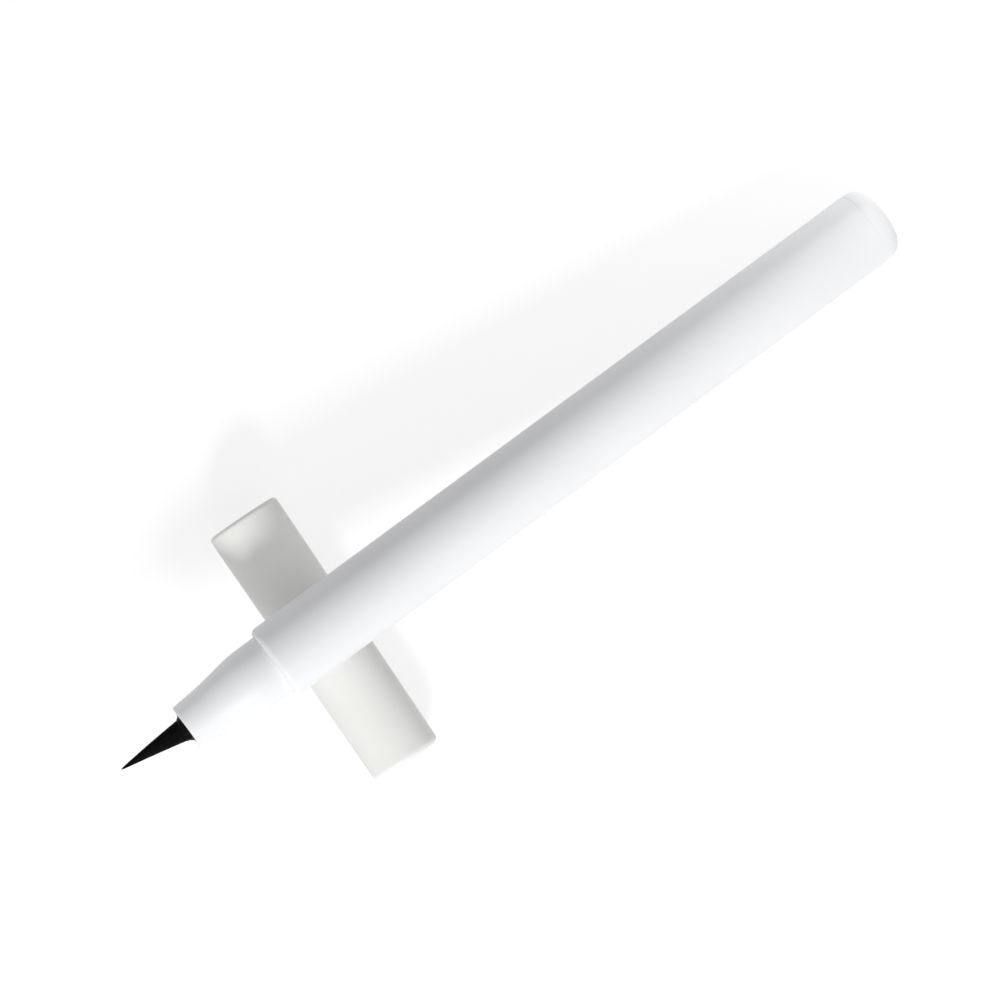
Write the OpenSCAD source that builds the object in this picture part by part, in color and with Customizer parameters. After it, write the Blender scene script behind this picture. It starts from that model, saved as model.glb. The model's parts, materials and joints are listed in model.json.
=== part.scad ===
// Liquid eyeliner pen with a brush tip, lying uncapped across its own cap.
// Lengths are millimetres. Each piece is drawn upright on its own axis, then laid down.
// On the pen's axis the barrel's front face is at zero and the brush points up.
// On the cap's axis the closed end is at zero and the mouth points up.

/* [Barrel] */
// Outside diameter of the barrel
barrel_d = 10.4; // [10:0.1:12]
// Length of the barrel tube, front face to tail plug
barrel_len = 97.2; // [85:0.1:115]
// Wall of the barrel
barrel_wall = 1.05; // [0.95:0.05:1.2]
// Rounding of the barrel's front edge
barrel_edge_r = 0.75; // [0.3:0.05:0.8]

/* [Tail plug] */
// Length of the plug's collar behind the barrel
plug_collar_len = 2.8; // [2:0.1:5]
// Rounding of the plug's outer edge
plug_edge_r = 2.4; // [1:0.1:2.6]
// Length of the spigot inside the barrel
plug_spigot_len = 15; // [10:0.5:20]
// Wall of the spigot
plug_wall = 0.9; // [0.7:0.05:1.2]
// Height of the snap bead around the spigot
bead_h = 0.15; // [0.08:0.01:0.2]
// Width of the snap bead
bead_w = 0.9; // [0.6:0.1:1.4]

/* [Ink tank] */
// Wall of the ink tank
tank_wall = 1.2; // [0.8:0.1:1.5]
// Thickness of the gasket in front of the tank
seal_t = 0.9; // [0.6:0.1:1.5]
// Width of the gasket ring
seal_w = 1.25; // [0.8:0.05:1.4]
// Thickness of the tank plug's flange
tank_flange_t = 1.2; // [0.8:0.1:2]
// Length of the tank plug's stopper
stopper_len = 4; // [2.5:0.5:6]
// Diameter of the mixing ball
ball_d = 3.2; // [2.5:0.1:4]

/* [Front section] */
// Length of the section in front of the barrel
nose_len = 13.9; // [12.5:0.1:18]
// Length of the cylinder that the cap grips
nose_base_len = 4.2; // [3:0.1:5]
// Length of the cone behind the slim front
nose_cone_len = 5.4; // [4:0.1:6]
// Length of the tenon inside the barrel
tenon_len = 16; // [14:0.5:20]
// Width of the shoulder that stops the section at the barrel's front face
nose_shoulder = 0.2; // [0.15:0.05:0.3]
// Wall of the tenon
section_wall = 1; // [0.95:0.05:1.2]
// Wall around the hole in the front
nose_tip_wall = 1.03; // [0.9:0.01:1.2]
// Rounding of the front edge
nose_edge_r = 0.3; // [0.1:0.05:0.4]
// Thickness of the sealing ring on the tenon
ring_t = 0.55; // [0.4:0.05:0.6]

/* [Collector] */
// Number of fins
fin_count = 22; // [12:1:24]
// Thickness of one fin
fin_t = 0.36; // [0.25:0.01:0.45]
// Diameter of the collector's core
core_d = 3.2; // [2.6:0.1:3.8]
// Thickness of the flange behind the tenon
collector_flange_t = 0.8; // [0.6:0.1:1.2]
// Length of the neck that stands in the tank
neck_len = 3; // [2:0.5:5]
// Width of the air slot across the fins
air_slot_w = 0.8; // [0.4:0.1:1.2]
// Width of the ink slot on the other side
ink_slot_w = 0.25; // [0.15:0.05:0.4]
// Diameter of the fibre rod that feeds the brush
feed_d = 1.6; // [1.2:0.1:2]

/* [Brush] */
// Diameter of the brush where it leaves the front
brush_d = 3.2; // [2.8:0.1:3.4]
// Length of the brush in front of the section
brush_len = 10.05; // [7:0.05:13]
// Sideways lean of the brush at its tip
brush_lean = 0.7; // [0:0.05:1]
// Rings of bristles around the middle one
brush_rings = 10; // [10:1:12]
// Wall of the brush holder
holder_wall = 0.85; // [0.7:0.05:1]
// Length of the holder's slim neck behind the section's face
holder_neck_len = 3; // [2:0.5:4]
// Height of the holder's lip in front of the section
lip_h = 0.4; // [0.2:0.05:0.8]
// Widening of the lip at the section's face
lip_flare = 0.45; // [0.3:0.05:0.6]

/* [Cap] */
// Length of the cap
cap_len = 39.2; // [36:0.1:46]
// Amount by which the closed end is slimmer than the mouth
cap_draft = 0.35; // [0:0.05:0.6]
// Rounding of the closed end
cap_end_r = 0.9; // [0.4:0.1:1.2]
// Crown of the closed end
cap_crown = 0.2; // [0.1:0.05:0.5]
// Rounding of the mouth's outer edge
cap_mouth_r = 0.6; // [0.2:0.05:0.7]
// Thickness of the closed end
cap_end_t = 1.4; // [1:0.1:2]
// Step from the mouth's bore down to the inner cap's guide
guide_step = 0.15; // [0.1:0.05:0.25]
// Height of the rib that keeps the inner cap in
rib_h = 0.4; // [0.25:0.05:0.5]
// Width of that rib
rib_w = 0.65; // [0.4:0.05:1]

/* [Inner cap and spring] */
// Travel of the inner cap against its spring
press_travel = 1.2; // [0.6:0.1:2]
// Wall of the inner cap
inner_wall = 0.55; // [0.4:0.05:0.6]
// Thickness of the inner cap's bottom
inner_bottom_t = 0.8; // [0.6:0.1:1.2]
// Length of the inner cap's guide collars
collar_len = 2; // [1:0.1:3]
// Room left in front of the brush when the pen is capped
brush_room = 2; // [1:0.5:4]
// Outside diameter of the spring
spring_d = 6.4; // [5.6:0.1:7]
// Thickness of the spring's wire
wire_d = 0.45; // [0.3:0.05:0.5]
// Number of curls in the spring
curls = 8; // [6:1:10]
// Diameter of the posts that centre the spring
post_d = 3.6; // [2.5:0.1:4.2]
// Length of those posts
post_len = 2; // [1:0.1:3]

/* [Fits and resting place] */
// Gap around pieces that slip into each other
fit_gap = 0.05; // [0.02:0.01:0.08]
// Gap between loose pieces
rest_gap = 0.2; // [0.2:0.05:0.35]
// Distance from the barrel's front face back to the cap that carries it
cap_reach = 8; // [6:0.5:20]
// Distance from the cap's mouth to the place that carries the pen
cap_cross = 18.1; // [12:0.1:25]
// Angle by which the cap is turned away from square to the pen
cap_turn = 2.17; // [-10:0.01:10]

/* [Hidden] */
$fn = 96;
overrun = 0.5;
arc_steps = 8;
bend_steps = 6;

// Chamfers of the inner pieces
small_edge = 0.2;
// Chamfers on both sides of the joint between barrel and tail plug
joint_edge = 0.1;
// Share of a straight that a soft bend in the front section's outline takes up
bend_share = 0.3;
// Where the slim front's width lies between the widths in front of it and behind it
slim_share = 0.28;
// Length of the slug that the bristles are fused to, inside the holder
slug_len = 5.7;
// Thickness of the slug's flange
slug_flange_t = 0.9;
// Width of the slug's flange
slug_flange_w = 0.35;
// Thickness of the holder's rear flange
holder_flange_t = 0.8;
// Length of the collector's post inside the holder
holder_post_len = 5.4;
// Thickness of the lip at its top
lip_top_w = 0.06;
// Depth of the air slot's floor in the collector's core
slot_depth = 0.15;
// Depth of the bristles inside the slug
bristle_seat = 0.1;
bristle_sides = 3;
// Share of the spacing between bristles that a bristle fills
bristle_fill_share = 0.7;
// Share by which the bundle has narrowed at the tip
converge_share = 0.93;
// Share of the brush's length by which its outer bristles are shorter
taper_share = 0.14;
// Share of a bristle's length that its point takes up
point_share = 0.1;
// Share of the brush's length by which neighbouring bristles differ
ragged_share = 0.03;
// Length of the fibre rod that stands in the ink
feed_reach = 0.8;
// Distance of the snap bead from the barrel's rear face
bead_at = 4;
// Depth of the grip between the inner cap's rim and the section, when capped
seal_grip = 3.3;
wire_sides = 6;
rings_per_curl = 8;

barrel_r = barrel_d / 2;
barrel_bore_r = barrel_r - barrel_wall;
pen_len = barrel_len + plug_collar_len;
edge_r = min(barrel_edge_r, barrel_wall - nose_shoulder - joint_edge);
tail_edge_r = min(plug_edge_r, plug_collar_len - 2 * joint_edge);

plug_r = barrel_bore_r - fit_gap;
tank_r = barrel_bore_r - fit_gap;
tank_bore_r = tank_r - tank_wall;
stopper_r = tank_bore_r - fit_gap;

nose_base_r = barrel_bore_r + nose_shoulder;
tenon_r = barrel_bore_r - fit_gap;
chamber_r = tenon_r - section_wall;
brush_r = brush_d / 2;
holder_bore_r = brush_r + fit_gap;
holder_r = holder_bore_r + holder_wall;
holder_neck_r = holder_bore_r + lip_flare;
holder_neck_z = nose_len - holder_neck_len;
nose_bore_r = holder_r + fit_gap;
nose_hole_r = holder_neck_r + fit_gap;
nose_front_r = nose_hole_r + nose_tip_wall;
nose_slim_r = nose_front_r + slim_share * (nose_base_r - nose_front_r);
nose_slim_z = nose_base_len + nose_cone_len;
ring_r = ring_t / 2;
ring_z = -tenon_len / 4;

flange_z = -tenon_len - collector_flange_t;
seal_z = flange_z - seal_t;
tank_rear_z = -barrel_len + plug_spigot_len + tank_flange_t;
stopper_z = tank_rear_z + stopper_len;
neck_z = seal_z - neck_len;

slug_z = nose_len - slug_len;
slug_flange_r = brush_r + slug_flange_w;
root_bore_r = slug_flange_r + fit_gap;
holder_rear_z = slug_z - holder_post_len;
chamber_top_z = holder_rear_z + holder_flange_t;
nose_post_r = root_bore_r - fit_gap;
feed_r = feed_d / 2;
feed_bore_r = feed_r + fit_gap;
fin_r = chamber_r - fit_gap;
core_r = core_d / 2;
comb_top_z = holder_rear_z - fit_gap;
comb_len = comb_top_z + tenon_len;
fin_pitch = (comb_len - fin_t) / fin_count;

tip_z = nose_len + brush_len;
bristle_gap = brush_r / (brush_rings + 1 / 2);
bristle_half = bristle_gap * bristle_fill_share / 2;

cap_r = barrel_r;
cap_end_radius = cap_r - cap_draft / 2;
// Middle of the closed end, and height on the cap's axis at which its side starts
crown_r = cap_end_radius - cap_end_r;
side_c = cap_crown + cap_end_r;
cap_bore_r = nose_base_r + fit_gap;
guide_r = cap_bore_r - guide_step;
inner_r = guide_r - fit_gap;
// Height on the cap's axis at which the inner cap's rim grips the capped section
seal_c = cap_len - (nose_len - seal_grip);
inner_rim_c = seal_c + press_travel;
inner_bore_r = nose_radius(nose_len - seal_grip) + fit_gap / 2;
inner_floor_c = cap_len - tip_z - brush_room + press_travel;
inner_base_c = inner_floor_c - inner_bottom_t;
rib_c = inner_rim_c + fit_gap;
rib_r = guide_r - rib_h;
spring_r = (spring_d - wire_d) / 2;
spring_start_c = cap_end_t + wire_d / 2 + fit_gap;
spring_end_c = inner_base_c - wire_d / 2 - fit_gap;
spring_rise = spring_end_c - spring_start_c;

// The cap lies on its side and carries the pen; the tail plug's lower edge stands on the same floor
cap_slope = (cap_r - cap_end_radius) / (cap_len - cap_mouth_r - side_c);
cap_tilt = atan(cap_slope);
cross_r = cap_r - cap_slope * (cap_cross - cap_mouth_r);
cross_z = cross_r * cos(cap_tilt);
lever = pen_len - tail_edge_r - cap_reach;
drop = cross_r + rest_gap + tail_edge_r;
pitch = atan(drop / lever) + asin((cross_z - tail_edge_r) / norm([lever, drop]));
stack = barrel_r + rest_gap + cross_r;
front_z = tail_edge_r + (pen_len - tail_edge_r) * sin(pitch) + (barrel_r - tail_edge_r) * cos(pitch);
cross_back = cap_reach * cos(pitch) - stack * sin(pitch);

// Reach of the whole object from the barrel's front face, to set the origin at its middle
reach_front = tip_z * cos(pitch);
reach_rear = (pen_len - tail_edge_r) * cos(pitch) + (barrel_r - tail_edge_r) * sin(pitch) + tail_edge_r;
reach_mouth = (cap_cross - cap_mouth_r) * cos(cap_turn) + (cap_r - cap_mouth_r) * sin(abs(cap_turn)) + cap_mouth_r;
reach_end = max([for (p = cap_end_outline())
                    (cap_len - cap_cross - p[1]) * cos(cap_turn) + p[0] * sin(abs(cap_turn))]);
front_x = (reach_rear - reach_front) / 2;
front_y = (reach_mouth - reach_end) / 2;

function arc(centre, r, from, to) =
    [for (i = [0:arc_steps]) let (a = from + (to - from) * i / arc_steps) centre + r * [cos(a), sin(a)]];

// A soft bend at point b of an outline that comes from a and goes on to c
function bend(a, b, c) =
    let (p = b + bend_share * (a - b), q = b + bend_share * (c - b))
    [for (i = [0:bend_steps]) let (t = i / bend_steps) (1 - t) ^ 2 * p + 2 * t * (1 - t) * b + t ^ 2 * q];

// Radius of the front section's outside on its slim front
function nose_radius(z) =
    nose_slim_r + (nose_front_r - nose_slim_r) * (z - nose_slim_z) / (nose_len - nose_slim_z);

// Outline of the cap's closed end, from its middle to its side
function cap_end_outline() =
    concat([for (i = [0:arc_steps - 1]) let (t = i / arc_steps) [crown_r * t, cap_crown * t ^ 2]],
           arc([crown_r, side_c], cap_end_r, -90, 0));

module pen() {
    translate([front_x, front_y, front_z])
        rotate([0, 90 - pitch, 0])
            children();
}

module cap() {
    end_reach = cap_len - cap_cross;
    translate([front_x - cross_back + end_reach * sin(cap_turn),
               front_y + end_reach * cos(cap_turn),
               cap_end_radius * cos(cap_tilt) - side_c * sin(cap_tilt)])
        rotate([90 - cap_tilt, 0, -cap_turn])
            children();
}

// A tube with its edges chamfered on the outside
module bevelled_tube(outer_r, inner_r, low, high, edge) {
    rotate_extrude()
        polygon([[inner_r, low], [outer_r - edge, low], [outer_r, low + edge],
                 [outer_r, high - edge], [outer_r - edge, high], [inner_r, high]]);
}

module barrel() {
    bead_z = -barrel_len + bead_at;
    groove_r = barrel_bore_r + bead_h;
    color([0.93, 0.93, 0.95])
        pen()
            rotate_extrude()
                polygon(concat(
                    [[barrel_bore_r, -barrel_len], [barrel_r - joint_edge, -barrel_len],
                     [barrel_r, -barrel_len + joint_edge]],
                    arc([barrel_r - edge_r, -edge_r], edge_r, 0, 90),
                    [[barrel_bore_r, 0], [barrel_bore_r, bead_z + bead_w], [groove_r, bead_z + bead_w / 2],
                     [barrel_bore_r, bead_z]]));
}

module tail_plug() {
    bead_z = -barrel_len + bead_at;
    top_z = -barrel_len + plug_spigot_len;
    color([0.93, 0.93, 0.95])
        pen()
            rotate_extrude()
                polygon(concat(
                    [[0, -pen_len]],
                    arc([barrel_r - tail_edge_r, -pen_len + tail_edge_r], tail_edge_r, -90, 0),
                    [[barrel_r, -barrel_len - joint_edge], [barrel_r - joint_edge, -barrel_len],
                     [plug_r, -barrel_len], [plug_r, bead_z], [plug_r + bead_h, bead_z + bead_w / 2],
                     [plug_r, bead_z + bead_w], [plug_r, top_z - small_edge], [plug_r - small_edge, top_z],
                     [plug_r - plug_wall, top_z], [plug_r - plug_wall, -barrel_len], [0, -barrel_len]]));
}

module ink_tank() {
    color([0.85, 0.87, 0.88])
        pen()
            bevelled_tube(tank_r, tank_bore_r, tank_rear_z, seal_z, small_edge);
}

module tank_plug() {
    rear_z = tank_rear_z - tank_flange_t;
    color([0.8, 0.82, 0.84])
        pen()
            rotate_extrude()
                polygon([[0, stopper_z - plug_wall], [0, stopper_z], [stopper_r - small_edge, stopper_z],
                         [stopper_r, stopper_z - small_edge], [stopper_r, tank_rear_z], [tank_r, tank_rear_z],
                         [tank_r, rear_z], [stopper_r - plug_wall, rear_z],
                         [stopper_r - plug_wall, stopper_z - plug_wall]]);
}

module tank_seal() {
    color([0.25, 0.25, 0.27])
        pen()
            bevelled_tube(tank_r, tank_r - seal_w, seal_z, flange_z, small_edge);
}

module mixing_ball() {
    ball_r = ball_d / 2;
    color("silver")
        pen()
            translate([tank_bore_r - rest_gap - ball_r, 0, stopper_z + rest_gap + ball_r])
                sphere(r = ball_r);
}

module front_section() {
    front = [nose_front_r, nose_len - nose_edge_r];
    slim = [nose_slim_r, nose_slim_z];
    base = [nose_base_r, nose_base_len];
    groove_r = tenon_r - ring_t;
    groove_half = ring_r + fit_gap;
    color([0.93, 0.93, 0.95])
        pen()
            rotate_extrude()
                polygon(concat(
                    [[chamber_r, -tenon_len], [tenon_r - small_edge, -tenon_len],
                     [tenon_r, -tenon_len + small_edge],
                     [tenon_r, ring_z - groove_half], [groove_r, ring_z - groove_half],
                     [groove_r, ring_z + groove_half], [tenon_r, ring_z + groove_half],
                     [tenon_r, 0], [nose_base_r, 0]],
                    bend([nose_base_r, 0], base, slim),
                    bend(base, slim, front),
                    arc([nose_front_r - nose_edge_r, nose_len - nose_edge_r], nose_edge_r, 0, 90),
                    [[nose_hole_r, nose_len], [nose_hole_r, holder_neck_z + fit_gap],
                     [nose_bore_r, holder_neck_z + fit_gap], [nose_bore_r, chamber_top_z],
                     [chamber_r, chamber_top_z]]));
}

module section_ring() {
    color([0.25, 0.25, 0.27])
        pen()
            rotate_extrude()
                translate([tenon_r + fit_gap / 2 - ring_r, ring_z])
                    circle(r = ring_r, $fn = 32);
}

module collector() {
    comb = [for (i = [1:fin_count - 1])
                let (z = -tenon_len + fin_pitch * i)
                each [[core_r, z], [fin_r, z], [fin_r, z + fin_t], [core_r, z + fin_t]]];
    slot_z = -tenon_len + fin_pitch / 2;
    color([0.75, 0.77, 0.8])
        pen()
            difference() {
                rotate_extrude()
                    polygon(concat(
                        [[feed_bore_r, neck_z], [core_r - small_edge, neck_z], [core_r, neck_z + small_edge],
                         [core_r, flange_z], [tank_r, flange_z], [tank_r, -tenon_len], [core_r, -tenon_len]],
                        comb,
                        [[core_r, comb_top_z - fin_t], [fin_r, comb_top_z - fin_t], [fin_r, comb_top_z],
                         [nose_post_r, comb_top_z], [nose_post_r, slug_z - fit_gap],
                         [feed_bore_r, slug_z - fit_gap]]));
                translate([-fin_r - overrun, -air_slot_w / 2, slot_z])
                    cube([fin_r + overrun - core_r + slot_depth, air_slot_w, comb_top_z + small_edge - slot_z]);
                translate([feed_bore_r / 2, -ink_slot_w / 2, neck_z - overrun])
                    cube([fin_r, ink_slot_w, comb_top_z - fin_pitch - neck_z + overrun]);
            }
}

module ink_feed() {
    low_z = neck_z - feed_reach;
    color([0.3, 0.3, 0.33])
        pen()
            rotate_extrude()
                polygon([[0, low_z], [feed_r - small_edge, low_z], [feed_r, low_z + small_edge],
                         [feed_r, slug_z - small_edge], [feed_r - small_edge, slug_z], [0, slug_z]]);
}

module brush_holder() {
    flange_r = chamber_r - fit_gap;
    lip = [for (i = [0:bend_steps])
               let (t = i / bend_steps)
               [holder_bore_r + lip_top_w + (lip_flare - lip_top_w) * (1 - t) ^ 2, nose_len + lip_h * t]];
    color([0.12, 0.12, 0.13])
        pen()
            rotate_extrude()
                polygon(concat(
                    [[root_bore_r, holder_rear_z], [flange_r, holder_rear_z], [flange_r, chamber_top_z],
                     [holder_r, chamber_top_z], [holder_r, holder_neck_z], [holder_neck_r, holder_neck_z]],
                    lip,
                    [[holder_bore_r, nose_len + lip_h],
                     [holder_bore_r, slug_z + slug_flange_t + fit_gap],
                     [root_bore_r, slug_z + slug_flange_t + fit_gap]]));
}

// Width of the bundle at a share of its length, next to its width at the root
function bundle_share(s) = 1 - converge_share * s;

// Middle of a bristle that stands at an angle in a ring, at a share of the brush's length
function bristle_centre(ring, a, s) =
    ring * bristle_gap * bundle_share(s) * [cos(a), sin(a), 0] + [0, -brush_lean * s, nose_len + brush_len * s];

// Corners of that bristle there, square to the brush
function bristle_ring(ring, a, s) =
    [for (i = [0:bristle_sides - 1])
        let (b = a + 360 * i / bristle_sides)
        bristle_centre(ring, a, s) + bristle_half * bundle_share(s) * [cos(b), sin(b), 0]];

module bristle(ring, a, end) {
    seat = -bristle_seat / brush_len;
    shoulder = end * (1 - point_share);
    points = concat(bristle_ring(ring, a, seat), bristle_ring(ring, a, shoulder), [bristle_centre(ring, a, end)]);
    root = [for (i = [0:bristle_sides - 1]) i];
    sides = [for (i = root)
                let (j = (i + 1) % bristle_sides, low = bristle_sides, tip = 2 * bristle_sides)
                each [[i, low + i, low + j], [i, low + j, j], [low + i, tip, low + j]]];
    polyhedron(points = points, faces = concat([root], sides));
}

module brush() {
    color([0.06, 0.06, 0.07])
        pen() {
            rotate_extrude()
                polygon([[0, slug_z], [slug_flange_r, slug_z], [slug_flange_r, slug_z + slug_flange_t],
                         [brush_r, slug_z + slug_flange_t], [brush_r, nose_len], [0, nose_len]]);
            for (ring = [0:brush_rings], i = [0:max(6 * ring, 1) - 1]) {
                end = 1 - taper_share * ring / brush_rings - ragged_share * ((3 * i + 2 * ring) % 5) / 5;
                bristle(ring, 360 * (i + ring / 2) / max(6 * ring, 1), end);
            }
        }
}

module cap_shell() {
    color([0.93, 0.93, 0.92])
        cap()
            rotate_extrude()
                polygon(concat(
                    cap_end_outline(),
                    arc([cap_r - cap_mouth_r, cap_len - cap_mouth_r], cap_mouth_r, 0, 90),
                    [[cap_bore_r + joint_edge, cap_len], [cap_bore_r, cap_len - small_edge],
                     [cap_bore_r, rib_c + rib_w + rib_h],
                     [rib_r, rib_c + rib_w], [rib_r, rib_c], [guide_r, rib_c],
                     [guide_r, cap_end_t], [post_d / 2, cap_end_t], [post_d / 2 - small_edge, cap_end_t + post_len],
                     [0, cap_end_t + post_len]]));
}

module inner_cap() {
    wall_r = inner_bore_r + inner_wall;
    color([0.88, 0.89, 0.88])
        cap()
            rotate_extrude()
                polygon([[0, inner_base_c - post_len], [post_d / 2 - small_edge, inner_base_c - post_len],
                         [post_d / 2, inner_base_c], [inner_r - small_edge, inner_base_c],
                         [inner_r, inner_base_c + small_edge],
                         [inner_r, inner_base_c + collar_len], [wall_r, inner_base_c + collar_len],
                         [wall_r, inner_rim_c - collar_len], [inner_r, inner_rim_c - collar_len],
                         [inner_r, inner_rim_c],
                         [inner_bore_r + small_edge, inner_rim_c], [inner_bore_r, inner_rim_c - small_edge],
                         [inner_bore_r, inner_floor_c + small_edge], [inner_bore_r - small_edge, inner_floor_c],
                         [0, inner_floor_c]]);
}

// Middle of the spring's wire after a number of curls
function wire_centre(t) =
    [spring_r * cos(360 * t), spring_r * sin(360 * t), spring_start_c + spring_rise * t / curls];

// Corners around the wire there, square to the way it runs
function wire_ring(t) =
    let (out = [cos(360 * t), sin(360 * t), 0],
         way = [-sin(360 * t), cos(360 * t), spring_rise / curls / (2 * PI * spring_r)],
         up = cross(out, way) / norm(way))
    [for (i = [0:wire_sides - 1])
        let (a = 360 * i / wire_sides)
        wire_centre(t) + wire_d / 2 * (cos(a) * out + sin(a) * up)];

// Least gap between the wire and itself, measured at points that lie over half a curl apart
wire_points = [for (k = [0:curls * rings_per_curl]) wire_centre(k / rings_per_curl)];
wire_gap = min([for (k = [0:len(wire_points) - 1], m = [k + rings_per_curl / 2:1:len(wire_points) - 1])
                   norm(wire_points[m] - wire_points[k])]) - wire_d;
echo(least_gap_between_curls = wire_gap);

module cap_spring() {
    last = curls * rings_per_curl;
    points = [for (k = [0:last]) each wire_ring(k / rings_per_curl)];
    sides = [for (k = [0:last - 1], i = [0:wire_sides - 1])
                let (j = (i + 1) % wire_sides, low = k * wire_sides, high = low + wire_sides)
                each [[low + i, high + i, high + j], [low + i, high + j, low + j]]];
    start = [for (i = [1:wire_sides - 2]) [0, i, i + 1]];
    top = last * wire_sides;
    end = [for (i = [1:wire_sides - 2]) [top, top + i + 1, top + i]];
    color("silver")
        cap()
            polyhedron(points = points, faces = concat(sides, start, end));
}

barrel();
tail_plug();
ink_tank();
tank_plug();
tank_seal();
mixing_ball();
front_section();
section_ring();
collector();
ink_feed();
brush_holder();
brush();
cap_shell();
inner_cap();
cap_spring();
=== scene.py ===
"""Looks of an uncapped liquid eyeliner pen that rests across its own push-on cap.

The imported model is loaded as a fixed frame. The pieces that show are turned and drawn here as finer meshes in
the same places, and the hidden pieces get their finishes. Sizes in the classes are millimetres, Blender's are metres.
"""

import json
import logging
import math
import random
from abc import ABC, abstractmethod
from dataclasses import dataclass, field
from enum import Enum
from typing import Any, NamedTuple, Optional, Sequence

import bmesh
import bpy
from mathutils import Matrix, Vector


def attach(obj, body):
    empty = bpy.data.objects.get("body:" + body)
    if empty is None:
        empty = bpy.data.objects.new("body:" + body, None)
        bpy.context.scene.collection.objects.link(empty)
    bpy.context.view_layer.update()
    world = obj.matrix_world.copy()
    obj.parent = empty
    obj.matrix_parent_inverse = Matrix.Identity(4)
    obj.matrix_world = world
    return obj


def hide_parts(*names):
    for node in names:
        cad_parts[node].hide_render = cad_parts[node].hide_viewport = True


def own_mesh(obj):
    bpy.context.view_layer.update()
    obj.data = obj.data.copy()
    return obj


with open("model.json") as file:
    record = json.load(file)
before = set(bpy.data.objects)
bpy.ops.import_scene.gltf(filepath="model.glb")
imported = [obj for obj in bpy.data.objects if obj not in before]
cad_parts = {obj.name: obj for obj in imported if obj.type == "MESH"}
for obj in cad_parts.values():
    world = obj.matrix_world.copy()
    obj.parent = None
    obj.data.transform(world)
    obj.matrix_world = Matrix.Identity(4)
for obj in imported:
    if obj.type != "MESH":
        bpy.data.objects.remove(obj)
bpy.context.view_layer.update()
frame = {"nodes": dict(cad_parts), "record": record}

MM = 0.001
# Radius in millimetres below which a corner lies on the axis.
ON_AXIS = 1e-6
# Half the angle at which a corner counts as straight.
STRAIGHT = math.radians(89)
# Roundings of small moulded edges, in millimetres.
CRISP, FINE, SLIGHT, SMALL, SOFT = 0.05, 0.1, 0.15, 0.2, 0.3
log = logging.getLogger("eyeliner_pen")

Colour = tuple[float, float, float]
Socket = bpy.types.NodeSocket
Piece = bpy.types.Object


class Body(str, Enum):
    """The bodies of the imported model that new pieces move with."""

    PEN = "pen"
    CAP = "cap"
    INNER_CAP = "inner_cap"


class Slot(str, Enum):
    """The record's material slots."""

    SHELL = "shell_plastic"
    CAP = "cap_plastic"
    INNER = "inner_plastic"
    TANK = "tank_plastic"
    COLLECTOR = "collector_plastic"
    SEAL = "seal_rubber"
    STEEL = "steel"
    FIBRE = "fibre"
    HOLDER = "holder_plastic"
    BRISTLES = "bristles"


class Corner(NamedTuple):
    """A corner of a turned outline: its radius, its height on the axis and its rounding, in millimetres."""

    radius: float
    height: float
    fillet: float = 0.0


@dataclass(frozen=True)
class Axis:
    """The axis that a set of round pieces shares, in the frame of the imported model.

    Attributes:
        origin: The point at height zero, in metres.
        along: Unit vector towards growing height.
        down: Unit vector at angle zero.
        side: Unit vector at a quarter turn.
    """

    origin: Vector
    along: Vector
    down: Vector
    side: Vector

    @classmethod
    def through(cls, point: Vector, along: Vector, height: float) -> "Axis":
        """Makes the axis that passes through a point.

        Args:
            point: A point on the axis, in metres.
            along: The axis's direction.
            height: The point's height on the axis, in millimetres.

        Returns:
            The axis, with angle zero as near to straight down as it goes.
        """
        along = along.normalized()
        side = along.cross(Vector((0, 0, -1))).normalized()
        return cls(point - along * height * MM, along, side.cross(along), side)

    def point(self, radius: float, angle: float, height: float) -> Vector:
        """Returns the point in metres at a radius and height in millimetres and an angle in radians."""
        return self.place(radius * math.cos(angle), radius * math.sin(angle), height)

    def place(self, down: float, side: float, height: float) -> Vector:
        """Returns the point in metres at three distances along the axis's own directions in millimetres."""
        return self.origin + (self.down * down + self.side * side + self.along * height) * MM

    def to_local(self) -> Matrix:
        """Returns the turn that brings a direction of the model into the axis's own directions."""
        return Matrix((self.down, self.side, self.along))


def arc(middle: Corner, radius: float, start: float, end: float, steps: int) -> list[Corner]:
    """Draws a round stretch of an outline.

    Args:
        middle: The arc's centre.
        radius: Its radius.
        start: Angle of its first point in radians, from the direction of growing radius.
        end: Angle of its last point in radians.
        steps: Number of straight pieces.

    Returns:
        The points of the arc.
    """
    angles = [start + (end - start) * i / steps for i in range(steps + 1)]
    return [Corner(middle.radius + radius * math.cos(a), middle.height + radius * math.sin(a)) for a in angles]


def flare(wide: float, slim: float, height: float, rise: float, steps: int) -> list[Corner]:
    """Draws a stretch of an outline that narrows ever more gently, as ink does where it climbs.

    Args:
        wide: Radius at its foot.
        slim: Radius at its top.
        height: Height of its foot.
        rise: Height from there to its top.
        steps: Number of straight pieces.

    Returns:
        The points of the stretch.
    """
    return [Corner(slim + (wide - slim) * (1 - i / steps) ** 2, height + rise * i / steps) for i in range(steps + 1)]


def soft_bend(before: Corner, corner: Corner, after: Corner, share: float = 0.3, steps: int = 12) -> list[Corner]:
    """Bends an outline gently round a corner.

    Args:
        before: The corner before it.
        corner: The corner that is bent.
        after: The corner after it.
        share: Share of the straights on both sides that the bend takes up.
        steps: Number of straight pieces.

    Returns:
        The points of the bend.
    """
    a, b, c = (Vector(p[:2]) for p in (before, corner, after))
    start, end = b.lerp(a, share), b.lerp(c, share)
    points = [start.lerp(b, i / steps).lerp(b.lerp(end, i / steps), i / steps) for i in range(steps + 1)]
    return [Corner(*p) for p in points]


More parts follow.
